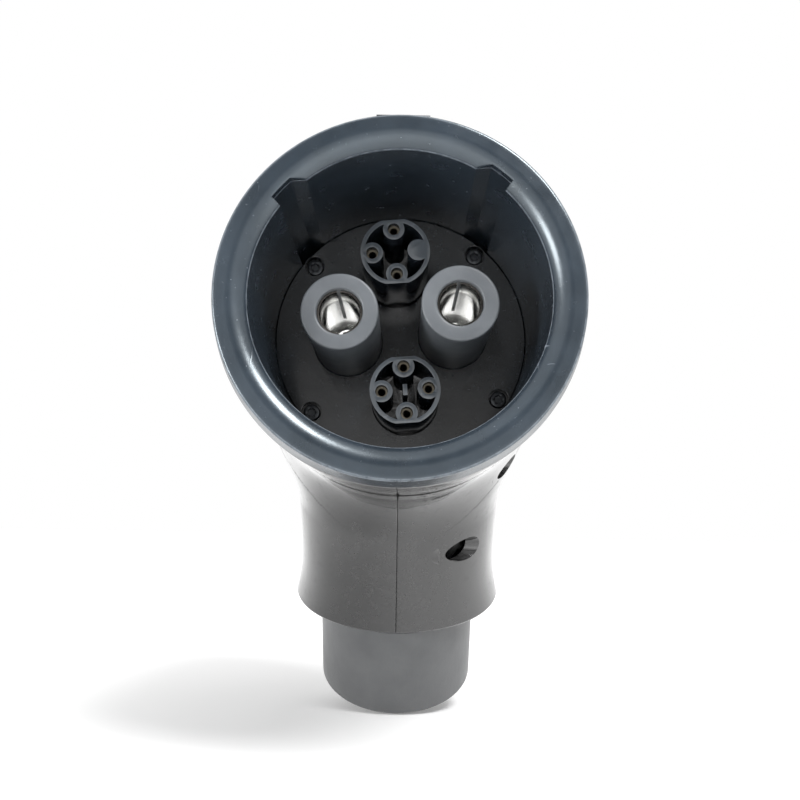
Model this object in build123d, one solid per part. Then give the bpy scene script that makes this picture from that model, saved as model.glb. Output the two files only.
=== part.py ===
from build123d import *
import os
from math import asin, cos, radians, sin, sqrt

# Round ten-position DC fast-charging plug with a pistol grip. Millimetres.
# Frame: the origin is the centre of the nose's front rim, the nose points along -Y,
# +Z is up and the grip runs down and back. Depths along the nose are measured in +Y.

os.makedirs("parts", exist_ok=True)

# Nose: a thick rim, a deep round mouth and a tube that is gripped by the housing
mouth_r = 32.0               # radius of the mouth
nose_wall = 5.1              # thickness of the tube round the mouth
rim_flare = 0.9              # how much wider the rim is at its back than at its front
rim_step = 0.1               # the rim's back is this much inside the barrel's surface
rim_length = 6.5             # length of the rim that stays outside the housing
rim_edge = 0.7               # rounding of the rim's outer front edge
mouth_depth = 45.5           # rim to the face of the contact carrier
lead_in_width = 4.2          # the mouth's rolled lead-in, across the face
lead_in_depth = 2.4
nose_length = 62.0           # rim to the back of the nose tube
nose_turn = 5.0              # the nose sits turned in the housing, in degrees
keyway_depth = 2.0
keyway_angles = (34.3, 39.0, 48.5)   # from the top: slope starts, floor starts, wall
groove_start, groove_width, groove_depth = 49.0, 3.0, 1.4

# Contacts
carrier_thickness = 8.0
plate_thickness = 5.0
sleeve_r = 8.65              # insulating sleeve round each power contact
sleeve_front = 12.5          # depth of the sleeve's front
sleeve_spacing = 26.8
sleeve_mouth_r = 5.1
sleeve_lip = 1.4             # length of the mouth in front of the contact
power_bore_r = 4.5
power_wall = 0.55
power_back = 75.0
power_slot = (0.8, 24.0)     # width and length of the two spring slots
signal_front = 24.3          # depth of the signal housings' front
signal_spacing = 33.1
signal_r = 8.2
signal_flat = 7.75           # half height across the two flats
signal_wall = 1.0
signal_void = 20.0           # depth of the cross-shaped void
tube_r = 2.55
tube_pitch_r = 5.45          # circle on which the four tubes stand
signal_bore_r = 0.8
signal_pin_wall = 0.65
signal_web = 4.4             # width of the webs that tie the tubes to the outer wall
signal_key = (1.0, 2.6)      # small bar in the middle of the four-socket housing
signal_recess = 1.8
signal_bore_depth = 14.0
signal_back = 66.0
face_screw_inset = 2.55      # from the mouth's wall to the screws in the carrier's face
face_screw_angles = (45.0, -35.8)    # above the middle, on each side
face_screw_r, face_head_r, face_head_height = 1.25, 2.1, 1.8
face_sink = 0.9              # how far the head lies below the carrier's face

# Housing: barrel, rear dome, latch hump and grip, in two halves
wall = 2.8
barrel_back = 70.0
dome_length = 38.0
hump_front = 13.0
hump_half_width = 17.5
hump_wall = 2.5
hump_front_rise = 5.0        # height of the hump above the barrel at its front
hump_rise = 10.5             # and behind its slope
hump_foot = 15.0             # height at which its sides start, inside the barrel
hump_slope_end = 42.0
hump_back = 81.5
hump_dome = 16.5
hump_edge = 3.0
grip_root = 67.0             # where the grip's axis crosses the nose axis
grip_angle = 60.8            # below the rearward direction, in degrees
grip_stations = (            # distance along the grip, half width, half depth
    (10.0, 28.6, 24.4),
    (44.0, 28.0, 23.8),
    (57.0, 27.7, 23.5),
    (67.0, 28.4, 23.6),
    (76.0, 31.0, 24.0),
)
neck_blend = 12.0
dome_screws = ((23.5, 19.0), (29.0, -3.0))    # distance behind the barrel, and height
chin_screw = (6.5, -30.5)    # distance behind the nose, and height
grip_screws = (51.5, 17.4)   # distance along the grip, and each side of its axis
case_screw_r, case_head_r, case_head_height = 1.45, 3.1, 2.4
case_head_seat = 9.0         # distance of the head's seat from the parting plane
case_screw_reach = 11.0      # length of thread in the left half
boss_wall = 1.6

# Latch on top of the barrel
pivot_y = 48.0
pivot_rise = 3.6             # height of the pivot above the barrel
pin_r = 1.5
pin_wall = 2.7               # metal above and below the pivot's centre
lever_width = 12.0
lever_gap = 0.4
arm_rise = 2.0               # underside of the lever's arm above the barrel
tail_rise = 1.2              # underside of its tail
tail_thickness = 2.2
hook_front = 8.6             # depth of the hook's front
hook_length = 2.4
tail_end = 82.0
button_y = 69.0
button_size = (17.0, 22.0)   # across and along the barrel
button_rise = 3.2            # height above the hump
button_travel = 2.1
button_flange = 1.5
stem_r = 3.0
spring_y = 67.0
spring_r, spring_wire, spring_turns = 2.4, 0.5, 6
spring_room = 0.8            # clearance round the spring in its cup
seat_drop = 6.2              # from the barrel's inner wall to the spring's seat
solenoid_y, solenoid_r, solenoid_length = 79.2, 7.5, 19.0
plunger_r = 2.0
plunger_length = 25.0
plunger_gap = 0.3            # between its tip and the lever's tail
stem_gap = 0.15              # between the button's stem and the lever's tail
rib = 2.5                    # thickness of the inner ribs and shelves
switch_size = (5.0, 7.4, 3.0)
switch_corner = (7.0, 51.3)

# Cable end
tail_r = 23.3
tail_length = 29.0
tail_flange_r = 19.4         # flange held behind the end wall of the grip
tail_flange_length = 8.0
tail_neck_r = 17.5           # neck that the end wall closes round
end_wall = 3.0
cable_r = 14.0
grommet_r = 19.0
grommet_length = 23.0
grommet_recess = 2.0
clamp_r = 18.4
clamp_length = 6.0
clamp_gap = 0.8
clamp_ear = 5.4
clamp_screw_r = 1.5

fit = 0.1                    # clearance between pieces that are put together
running = 0.05               # radial clearance of a turning or sliding fit
gasket = 0.8                 # thickness of the ring between rim and housing
gasket_inset = 0.5

# Sizes that follow from those above
nose_tube_r = mouth_r + nose_wall
cavity_r = nose_tube_r + fit
barrel_r = cavity_r + wall
rim_back_r = barrel_r - rim_step
rim_r = rim_back_r - rim_flare
carrier_back = mouth_depth + carrier_thickness
plate_back = carrier_back + plate_thickness
shell_front = rim_length + gasket
hump_front_r = barrel_r + hump_front_rise
hump_top_r = barrel_r + hump_rise
pivot_z = barrel_r + pivot_rise
tail_under = barrel_r + tail_rise
tail_top = tail_under + tail_thickness
seat_z = cavity_r - seat_drop
solenoid_floor = seat_z - solenoid_length
plunger_tip = tail_under - plunger_gap
grip_end = grip_stations[-1][0]


# ---- Helpers ----

def disc(sketch, near, far):
    """A slab with its outline across the nose axis, from one depth to another."""
    return extrude(Plane.XZ.offset(-near) * sketch, far - near, dir=(0, 1, 0))


def spin(*points):
    """A turned piece about the nose axis; each point is (radius, depth)."""
    return revolve(make_face(Polyline(*points, close=True)), Axis.Y)


def across(radius, y, z, x_from, x_to):
    """A round bar along X."""
    middle = (x_from + x_to) / 2
    return Pos(middle, y, z) * Rot(0, 90, 0) * Cylinder(radius, abs(x_to - x_from))


def upright(radius, x, y, z_from, z_to):
    """A round bar along Z."""
    return Pos(x, y, (z_from + z_to) / 2) * Cylinder(radius, z_to - z_from)


def block(x_from, x_to, y_from, y_to, z_from, z_to):
    centre = ((x_from + x_to) / 2, (y_from + y_to) / 2, (z_from + z_to) / 2)
    return Pos(*centre) * Box(x_to - x_from, y_to - y_from, z_to - z_from)


def side_plate(outline, half_width):
    """A plate that is symmetric about the parting plane; outline is (depth, height)."""
    face = Plane.YZ * make_face(Polyline(*outline, close=True))
    return extrude(face, half_width, dir=(1, 0, 0)) + extrude(face, half_width, dir=(-1, 0, 0))


def turned(shape):
    return Rot(0, -nose_turn, 0) * shape


grip = Plane(
    origin=(0, grip_root, 0),
    x_dir=(1, 0, 0),
    z_dir=(0, cos(radians(grip_angle)), -sin(radians(grip_angle))),
)


def along_grip(sketch, start, end):
    """A slab with its outline across the grip's axis."""
    return extrude(grip.offset(start) * sketch, end - start)


def signal_tubes(centre_z, blank=()):
    """Places of the sockets of one signal housing: top, right, bottom, left."""
    corners = ((0, 1), (1, 0), (0, -1), (-1, 0))
    kept = [c for i, c in enumerate(corners) if i not in blank]
    return [(x * tube_pitch_r, centre_z + z * tube_pitch_r) for x, z in kept]


# ---- Nose ----

def make_nose_ring():
    lip = mouth_r + lead_in_width
    outline = Polyline(
        (lip, 0), (rim_r - rim_edge, 0), (rim_r, rim_edge), (rim_back_r, rim_length),
        (nose_tube_r, rim_length), (nose_tube_r, groove_start),
        (nose_tube_r - groove_depth, groove_start),
        (nose_tube_r - groove_depth, groove_start + groove_width),
        (nose_tube_r, groove_start + groove_width), (nose_tube_r, nose_length),
        (mouth_r, nose_length), (mouth_r, lead_in_depth),
    )
    roll_r = (lead_in_width**2 + lead_in_depth**2) / (2 * lead_in_depth)
    half_turn = asin(lead_in_width / roll_r) / 2
    middle = (lip - roll_r * sin(half_turn), roll_r * (1 - cos(half_turn)))
    roll = ThreePointArc((mouth_r, lead_in_depth), middle, (lip, 0))
    ring = revolve(make_face(outline + roll), Axis.Y)
    slope, floor, side = [radians(a) for a in keyway_angles]
    deep = mouth_r + keyway_depth
    inside = mouth_r - 3
    corners = [(inside, slope), (mouth_r, slope), (deep, floor), (deep, (floor + side) / 2)]
    corners += [(deep, side), (inside, side)]
    for hand in (1, -1):
        points = [(hand * r * sin(a), r * cos(a)) for r, a in corners]
        ring -= disc(make_face(Polyline(*points, close=True)), -1, mouth_depth)
    return turned(ring)


def make_gasket():
    return disc(Circle(rim_back_r - gasket_inset) - Circle(nose_tube_r), rim_length, shell_front)


def screw_spots():
    reach = mouth_r - face_screw_inset
    angles = [radians(a) for a in face_screw_angles]
    return [(hand * reach * cos(a), reach * sin(a)) for a in angles for hand in (-1, 1)]


def make_carrier():
    plate = Circle(mouth_r - fit)
    for hand in (-1, 1):
        plate -= Pos(hand * sleeve_spacing / 2, 0) * Circle(sleeve_r + fit)
        plate -= Pos(0, hand * signal_spacing / 2) * Circle(signal_r + fit)
    carrier = disc(plate, mouth_depth, carrier_back)
    sink = face_sink + face_head_height
    for x, z in screw_spots():
        carrier -= disc(Pos(x, z) * Circle(face_head_r + 4 * fit), mouth_depth, mouth_depth + sink)
        carrier -= disc(Pos(x, z) * Circle(face_screw_r + fit), mouth_depth, carrier_back)
    return turned(carrier)


def make_retainer():
    plate = Circle(mouth_r - fit)
    for hand in (-1, 1):
        plate -= Pos(hand * sleeve_spacing / 2, 0) * Circle(power_bore_r + power_wall)
    for x, z in socket_spots():
        plate -= Pos(x, z) * Circle(signal_bore_r + signal_pin_wall)
    for x, z in screw_spots():
        plate -= Pos(x, z) * Circle(face_screw_r)
    return turned(disc(plate, carrier_back, plate_back))


def make_face_screw(x, z):
    seat = mouth_depth + face_sink + face_head_height
    head = Circle(face_head_r)
    screw = disc(head, seat - face_head_height, seat) + disc(Circle(face_screw_r), seat, plate_back)
    screw -= disc(RegularPolygon(0.9, 6), 0, seat - 0.5)
    return turned(Pos(x, 0, z) * screw)


# ---- Contacts ----

def make_power_sleeve(hand):
    chamber = power_bore_r + power_wall + 0.25
    seat = power_bore_r + power_wall
    lip = sleeve_front + sleeve_lip
    edge = 0.5
    sleeve = spin(
        (sleeve_mouth_r + edge, sleeve_front), (sleeve_r - edge, sleeve_front),
        (sleeve_r, sleeve_front + edge), (sleeve_r, carrier_back), (seat, carrier_back),
        (seat, mouth_depth), (chamber, mouth_depth), (chamber, lip), (sleeve_mouth_r, lip),
        (sleeve_mouth_r, sleeve_front + edge),
    )
    return turned(Pos(hand * sleeve_spacing / 2, 0, 0) * sleeve)


def make_power_contact(hand):
    outer = power_bore_r + power_wall
    front = sleeve_front + sleeve_lip
    slot_width, slot_length = power_slot
    contact = disc(Circle(outer), front, power_back)
    contact -= disc(Circle(power_bore_r), front, mouth_depth)
    contact -= disc(Circle(outer - 1.1), plate_back + 2, power_back)
    contact -= disc(Rectangle(slot_width, 3 * outer), front, front + slot_length)
    return turned(Pos(hand * sleeve_spacing / 2, 0, 0) * contact)


def make_signal_housing(hand, blank=()):
    centre = hand * signal_spacing / 2
    trim = Rectangle(3 * signal_r, 2 * signal_flat)
    body = Circle(signal_r) & trim
    void = (Circle(signal_r - signal_wall)) & Rectangle(3 * signal_r, 2 * (signal_flat - signal_wall))
    for x, z in signal_tubes(0):
        void -= Pos(x, z) * Circle(tube_r)
        if x == 0:
            void -= Pos(0, z * signal_r / tube_pitch_r) * Rectangle(signal_web, 2 * tube_r)
    if not blank:
        void -= Rectangle(*signal_key)
    housing = disc(body, signal_front, carrier_back)
    housing -= disc(void, signal_front, signal_front + signal_void)
    for x, z in signal_tubes(0, blank):
        bore = Pos(x, z) * Circle(signal_bore_r + signal_pin_wall)
        housing -= disc(bore, signal_front, carrier_back)
    return turned(Pos(0, 0, centre) * housing)


def socket_spots():
    """Seven signal sockets: three in the top housing, four in the bottom one."""
    return signal_tubes(signal_spacing / 2, blank=(1,)) + signal_tubes(-signal_spacing / 2)


def make_signal_contact(x, z):
    front = signal_front + signal_recess
    contact = disc(Circle(signal_bore_r + signal_pin_wall), front, signal_back)
    contact -= disc(Circle(signal_bore_r), front, front + signal_bore_depth)
    return turned(Pos(x, 0, z) * contact)


# ---- Housing ----

def barrel_shape(inset, front):
    """Barrel with a domed back, drawn in by the wall where inset is given."""
    radius = barrel_r - inset
    tip = barrel_back + dome_length - inset
    outline = Polyline((0, tip), (0, front), (radius, front), (radius, barrel_back))
    dome = EllipticalCenterArc((0, barrel_back), radius, tip - barrel_back, arc_size=90)
    return revolve(make_face(outline + dome), Axis.Y)


def hump_shape(inset, front):
    """Ridge along the top that carries the latch."""
    slope = (hump_top_r - hump_front_r) / (hump_slope_end - hump_front)
    low = hump_front_r - inset + slope * (front - hump_front)
    high = hump_top_r - inset
    tip = hump_back + hump_dome - inset
    outline = Polyline(
        (0, tip), (0, front), (low, front), (high, hump_slope_end), (high, hump_back),
    )
    dome = EllipticalCenterArc((0, hump_back), high, tip - hump_back, arc_size=90)
    ridge = revolve(make_face(outline + dome), Axis.Y)
    half = hump_half_width - inset
    ridge &= block(-half, half, front - 1, tip + 1, hump_foot, 2 * hump_top_r)
    sides = [e for e in ridge.edges() if abs(e.center().X) > half - fit]
    rails = [e for e in sides if e.center().Z > 2 * hump_foot and e.bounding_box().size.Y > wall]
    return fillet(rails, max(hump_edge - inset, 0.4))


def grip_shape(inset, end):
    rings = [
        grip.offset(min(s, end)) * Ellipse(a - inset, b - inset) for s, a, b in grip_stations
    ]
    return loft(rings)


def grip_point(along, forward):
    """Depth and height of a point of the parting plane, given from the grip's axis."""
    spot = grip.from_local_coords((0, forward, along))
    return spot.Y, spot.Z


def case_screw_places():
    """Depth and height of each screw through the parting plane."""
    dome = [(barrel_back + back, z) for back, z in dome_screws]
    chin = (nose_length + chin_screw[0], chin_screw[1])
    along, aside = grip_screws
    return dome + [chin, grip_point(along, aside), grip_point(along, -aside)]


def screw_boss(y, z):
    reach = 2 * barrel_r
    right = across(case_head_r + 0.4 + boss_wall, y, z, 0, reach)
    left = across(case_screw_r + boss_wall + 1.2, y, z, -reach, 0)
    return right + left


def screw_hole(y, z):
    hole = across(case_head_r + 0.4, y, z, case_head_seat, 2 * barrel_r)
    hole += across(case_screw_r + fit, y, z, 0, case_head_seat)
    return hole + across(case_screw_r, y, z, -case_screw_reach, 0)


def make_outside():
    barrel, handle = barrel_shape(0, shell_front), grip_shape(0, grip_end)
    body = barrel + handle
    return fillet(new_edges(barrel, handle, combined=body), neck_blend)


def make_inner_ribs():
    """Bosses, cups and shelves, rooted half way into the wall."""
    ribs = Part() + [screw_boss(y, z) for y, z in case_screw_places()]
    reach, half = barrel_r, rib / 2
    shelf = solenoid_y - solenoid_r, solenoid_y + solenoid_r
    ribs += block(-reach, reach, *shelf, solenoid_floor - rib, solenoid_floor)
    ribs += block(-reach, reach, spring_y - half, spring_y + half, seat_z - rib, cavity_r)
    ribs += upright(spring_r + spring_room + half, 0, spring_y, seat_z - rib, cavity_r)
    return ribs & (barrel_shape(wall / 2, 0) + grip_shape(wall / 2, grip_end - end_wall / 2))


def make_housing_halves():
    body = make_outside()
    ridge = hump_shape(0, hump_front)
    attic = hump_shape(hump_wall, hump_front + hump_wall) - barrel_shape(0, 0)
    hollow = barrel_shape(wall, 0) + grip_shape(wall, grip_end - end_wall)
    shell = (body + ridge) - hollow - attic
    shell += make_inner_ribs()
    shell += turned_ring(nose_tube_r - groove_depth + fit, barrel_r - wall / 2)
    half = lever_width / 2 + lever_gap
    for hand in (-1, 1):
        shell += across(2 * pin_r, pivot_y, pivot_z, hand * half, hand * (hump_half_width - 1))
    shell += switch_pad()
    shell -= block(-half, half, 0, pivot_y - 4, barrel_r + 0.3, 2 * barrel_r)
    shell -= block(-half, half, pivot_y + 9, tail_end + 1, cavity_r + fit, tail_top)
    shell -= button_prism(lever_gap, tail_top, 2 * barrel_r)
    shell -= upright(spring_r + spring_room, 0, spring_y, seat_z, barrel_r)
    shell -= upright(plunger_r + lever_gap, 0, solenoid_y, seat_z, barrel_r)
    shell -= across(pin_r, pivot_y, pivot_z, 1.5 - hump_half_width, hump_half_width - 1.5)
    shell -= along_grip(Circle(tail_neck_r + fit), grip_end - 2 * end_wall, grip_end + 1)
    for y, z in case_screw_places():
        shell -= screw_hole(y, z)
    far = 3 * barrel_r
    left = shell & block(-far, 0, -far, 2 * far, -2 * far, far)
    right = shell & block(0, far, -far, 2 * far, -2 * far, far)
    return left, right


def turned_ring(inner, outer):
    """Rib of the housing that enters the groove of the nose tube."""
    ring = Circle(outer) - Circle(inner)
    return disc(ring, groove_start + fit, groove_start + groove_width - fit)


def switch_pad():
    x, y = switch_corner
    width, length, _ = switch_size
    return block(x, x + width, y, y + length, barrel_r - wall / 2, barrel_r)


def make_case_screw(y, z):
    seat = case_head_seat
    screw = across(case_head_r, y, z, seat, seat + case_head_height)
    screw += across(case_screw_r, y, z, -case_screw_reach, seat)
    socket = Plane.YZ.offset(seat + case_head_height) * (Pos(y, z) * RegularPolygon(1.6, 6))
    return screw - extrude(socket, case_head_height * 0.6, dir=(-1, 0, 0))


# ---- Latch ----

def make_lever():
    low, high = pivot_z - pin_wall, pivot_z + pin_wall
    arm = barrel_r + arm_rise
    hook_back = hook_front + hook_length
    outline = (
        (hook_front, low), (hook_back, low), (hook_back + 1, arm),
        (pivot_y - 14, arm), (pivot_y - 7, low), (pivot_y + 6, low),
        (pivot_y + 9, tail_under), (tail_end, tail_under), (tail_end, tail_top),
        (pivot_y + 7.5, tail_top), (pivot_y + 3, high), (pivot_y - 12, high),
        (hump_front, hump_front_r - 1), (hook_front, hump_front_r - 2.1),
    )
    lever = side_plate(outline, lever_width / 2)
    return lever - across(pin_r + running, pivot_y, pivot_z, -barrel_r, barrel_r)


def make_latch_pin():
    return across(pin_r, pivot_y, pivot_z, 1.5 - hump_half_width, hump_half_width - 1.5)


def button_prism(grow, low, high):
    width, length = button_size
    outline = Pos(0, button_y) * RectangleRounded(width + 2 * grow, length + 2 * grow, 4 + grow)
    return extrude(Plane.XY.offset(low) * outline, high - low)


def flange_top():
    """Height at which the button's flange meets the curved roof of the hump."""
    half = button_size[0] / 2 + button_flange
    return sqrt((hump_top_r - hump_wall)**2 - half**2) - fit


def make_button():
    top = flange_top()
    cap = button_prism(0, top - 1, hump_top_r + button_rise)
    cap = fillet(cap.faces().sort_by(Axis.Z)[-1].edges(), 1.5)
    flange = button_prism(button_flange, top - 1.5, top)
    stem_z = tail_top + stem_gap + stem_r
    stem = Pos(0, button_y, stem_z) * Sphere(stem_r)
    stem += upright(stem_r, 0, button_y, min(stem_z, top - 1), top)
    return cap + flange + stem


def make_spring():
    height = tail_under - seat_z - spring_wire
    coil = Helix(height / spring_turns, height, spring_r)
    section = Plane(coil @ 0, z_dir=coil % 0) * Circle(spring_wire / 2)
    return Pos(0, spring_y, seat_z + spring_wire / 2) * sweep(section, coil)


def make_solenoid():
    body = upright(solenoid_r, 0, solenoid_y, solenoid_floor, seat_z)
    return body - upright(plunger_r + running, 0, solenoid_y, solenoid_floor + 0.5, seat_z)


def make_plunger():
    plunger = upright(plunger_r, 0, solenoid_y, plunger_tip - plunger_length, plunger_tip)
    return chamfer(plunger.faces().sort_by(Axis.Z)[-1].edges(), plunger_r / 3)


def make_switch():
    x, y = switch_corner
    width, length, height = switch_size
    return block(x, x + width, y, y + length, barrel_r, barrel_r + height)


# ---- Cable end ----

def make_cable_sleeve():
    end = grip_end + tail_length
    inner = grip_end - end_wall
    sleeve = along_grip(Circle(tail_r), grip_end, end)
    sleeve += along_grip(Circle(tail_neck_r), inner, grip_end)
    sleeve += along_grip(Circle(tail_flange_r), inner - tail_flange_length, inner)
    sleeve -= along_grip(Circle(cable_r + 0.3), inner - tail_flange_length, end)
    return sleeve - along_grip(Circle(grommet_r), end - grommet_recess - grommet_length, end)


def make_grommet():
    end = grip_end + tail_length - grommet_recess
    return along_grip(Circle(grommet_r) - Circle(cable_r), end - grommet_length, end)


clamp_end = grip_end - end_wall - tail_flange_length
clamp_start = clamp_end - clamp_length
ear_x = clamp_r + clamp_ear / 2


def clamp_bar(radius, x, low, high):
    """A round bar from the rear to the front of the grip."""
    middle = (clamp_start + clamp_end) / 2
    return grip * (Pos(x, (low + high) / 2, middle) * Rot(90, 0, 0) * Cylinder(radius, high - low))


def make_clamp(hand):
    ears = Rectangle(2 * (clamp_r + clamp_ear), 8.8)
    ring = Circle(clamp_r) + ears - Circle(cable_r + fit)
    ring &= Pos(0, hand * (clamp_r + clamp_gap / 2)) * Rectangle(4 * clamp_r, 2 * clamp_r)
    clamp = along_grip(ring, clamp_start, clamp_end)
    for side in (-1, 1):
        clamp -= clamp_bar(clamp_screw_r, side * ear_x, -clamp_r, clamp_r)
    return clamp


def make_clamp_screw(side):
    screw = clamp_bar(clamp_screw_r, side * ear_x, -4.4, 4.4)
    return screw + clamp_bar(2.4, side * ear_x, 4.4, 6.2)


# ---- Pieces ----

left_half, right_half = make_housing_halves()
pieces = {
    "nose_ring": make_nose_ring(),
    "collar_gasket": make_gasket(),
    "contact_carrier": make_carrier(),
    "retainer_plate": make_retainer(),
    "power_sleeve_left": make_power_sleeve(-1),
    "power_sleeve_right": make_power_sleeve(1),
    "power_contact_left": make_power_contact(-1),
    "power_contact_right": make_power_contact(1),
    "signal_housing_top": make_signal_housing(1, blank=(1,)),
    "signal_housing_bottom": make_signal_housing(-1),
    "housing_left": left_half,
    "housing_right": right_half,
    "latch_lever": make_lever(),
    "latch_pin": make_latch_pin(),
    "latch_spring": make_spring(),
    "release_button": make_button(),
    "lock_solenoid": make_solenoid(),
    "lock_plunger": make_plunger(),
    "latch_switch": make_switch(),
    "cable_sleeve": make_cable_sleeve(),
    "cable_grommet": make_grommet(),
    "cable_clamp_front": make_clamp(1),
    "cable_clamp_rear": make_clamp(-1),
    "clamp_screw_left": make_clamp_screw(-1),
    "clamp_screw_right": make_clamp_screw(1),
}
for i, (x, z) in enumerate(socket_spots(), 1):
    pieces[f"signal_contact_{i}"] = make_signal_contact(x, z)
for i, (x, z) in enumerate(screw_spots(), 1):
    pieces[f"face_screw_{i}"] = make_face_screw(x, z)
for i, (y, z) in enumerate(case_screw_places(), 1):
    pieces[f"housing_screw_{i}"] = make_case_screw(y, z)

for name, piece in pieces.items():
    export_step(piece, f"parts/{name}.step")
    print(name, len(piece.solids()), round(piece.volume, 1))
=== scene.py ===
import math

import bmesh
import bpy
import numpy as np
from mathutils import Matrix, Vector


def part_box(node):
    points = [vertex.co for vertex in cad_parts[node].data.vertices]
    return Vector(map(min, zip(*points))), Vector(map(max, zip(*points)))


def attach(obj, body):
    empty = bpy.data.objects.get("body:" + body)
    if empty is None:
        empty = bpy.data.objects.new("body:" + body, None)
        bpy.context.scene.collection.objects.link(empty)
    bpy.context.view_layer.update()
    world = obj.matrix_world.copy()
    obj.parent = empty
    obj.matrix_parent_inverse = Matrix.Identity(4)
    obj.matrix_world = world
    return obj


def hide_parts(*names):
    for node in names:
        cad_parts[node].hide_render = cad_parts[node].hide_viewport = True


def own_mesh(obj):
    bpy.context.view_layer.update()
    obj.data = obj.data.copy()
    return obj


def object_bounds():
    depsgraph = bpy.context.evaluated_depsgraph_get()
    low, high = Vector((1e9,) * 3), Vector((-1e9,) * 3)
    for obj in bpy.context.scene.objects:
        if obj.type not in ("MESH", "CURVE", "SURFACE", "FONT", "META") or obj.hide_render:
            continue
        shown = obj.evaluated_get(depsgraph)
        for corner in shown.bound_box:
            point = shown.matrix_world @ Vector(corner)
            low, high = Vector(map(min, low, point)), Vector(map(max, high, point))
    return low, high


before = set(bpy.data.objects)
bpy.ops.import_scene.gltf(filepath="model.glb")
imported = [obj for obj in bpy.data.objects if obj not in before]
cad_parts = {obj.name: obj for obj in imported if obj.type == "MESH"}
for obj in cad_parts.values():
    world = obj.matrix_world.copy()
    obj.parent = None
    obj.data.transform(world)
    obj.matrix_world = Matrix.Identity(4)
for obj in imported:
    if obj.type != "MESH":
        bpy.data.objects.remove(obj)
cadBox = [[float(v) for v in corner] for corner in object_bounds()]
mm = 0.001

# Sizes are in millimetres; depth runs back from the rim (+Y), height is +Z.


class Value:  # a socket that can be used in sums
    def __init__(self, paint, socket):
        self.paint, self.socket = paint, socket

    def join(self, operation, first, second):
        return self.paint.node("ShaderNodeMath", {"operation": operation}, {0: first, 1: second})

    def __add__(self, other):
        return self.join("ADD", self, other)

    def __sub__(self, other):
        return self.join("SUBTRACT", self, other)

    def __rsub__(self, other):
        return self.join("SUBTRACT", other, self)

    def __mul__(self, other):
        return self.join("MULTIPLY", self, other)

    def __gt__(self, other):
        return self.join("GREATER_THAN", self, other)

    def __lt__(self, other):
        return self.join("LESS_THAN", self, other)

    __radd__, __rmul__ = __add__, __mul__


class Paint:  # one material, or the world, and its nodes
    def __init__(self, name, settings=None, world=False):
        self.material = (bpy.data.worlds if world else bpy.data.materials).new(name)
        self.material.use_nodes = True
        self.tree = self.material.node_tree
        self.shader = self.tree.nodes["Background" if world else "Principled BSDF"]
        self.spot = self.node("ShaderNodeTexCoord", output="Generated" if world else "Object")
        for socket, value in (settings or {}).items():
            self.shader.inputs[socket].default_value = value

    def node(self, kind, settings=None, inputs=None, output=0):
        made = self.tree.nodes.new(kind)
        for key, value in (settings or {}).items():
            if key == "stops":
                ramp = made.color_ramp
                while len(ramp.elements) < len(value):
                    ramp.elements.new(0.5)
                for element, (place, colour) in zip(ramp.elements, value):
                    element.position = place
                    element.color = (*colour, 1) if isinstance(colour, tuple) else (colour, colour, colour, 1)
            else:
                setattr(made, key, value)
        for key, value in (inputs or {}).items():
            if isinstance(value, Value):
                self.tree.links.new(value.socket, made.inputs[key])
            else:
                made.inputs[key].default_value = value
        return Value(self, made.outputs[output])

    def axes(self):
        split = self.node("ShaderNodeSeparateXYZ", None, {0: self.spot}).socket.node
        return [Value(self, output) for output in split.outputs]

    def noise(self, scale, detail=3.0, roughness=0.55, stretch=None):
        place = self.spot
        if stretch:
            place = self.node("ShaderNodeMapping", None, {"Vector": place, "Scale": stretch})
        settings = {"Vector": place, "Scale": scale, "Detail": detail, "Roughness": roughness}
        return self.node("ShaderNodeTexNoise", None, settings, "Fac")

    def ramp(self, factor, *stops, output=0):
        return self.node("ShaderNodeValToRGB", {"stops": stops}, {"Fac": factor}, output)

    def mix(self, factor, first, second):
        made = self.tree.nodes.new("ShaderNodeMix")
        made.data_type = "RGBA"
        for socket, value in zip((0, 6, 7), (factor, first, second)):
            if isinstance(value, Value):
                self.tree.links.new(value.socket, made.inputs[socket])
            else:
                made.inputs[socket].default_value = (*value, 1) if isinstance(value, tuple) else value
        return Value(self, made.outputs[2])

    def feed(self, socket, value):
        self.tree.links.new(value.socket, self.shader.inputs[socket])

    def bump(self, height, distance, strength=1.0):
        self.feed("Normal", self.node("ShaderNodeBump", None,
                {"Height": height, "Distance": distance, "Strength": strength}))


def mouldedPlastic(name, low, high, rough=(0.3, 0.45), grain=0.00002, settings=None):
    paint = Paint(name, settings)
    cloud = paint.noise(90.0, 4.0)
    paint.feed("Base Color", paint.mix(paint.ramp(cloud, (0.35, 0.0), (0.68, 1.0)), low, high))
    fine = paint.noise(1400.0, 2.0)
    paint.feed("Roughness", paint.noise(260.0, 4.0) * (rough[1] - rough[0]) + rough[0])
    paint.bump(fine * 0.6 + cloud * 0.4, grain)
    return paint


# the scuff colour serves both the real wear and the painted highlight on the rim's edges
rimLook = {"dark": (0.013, 0.018, 0.024), "pale": (0.025, 0.034, 0.045), "scuffAndEdgeHighlight": (0.34, 0.38, 0.43)}


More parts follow.
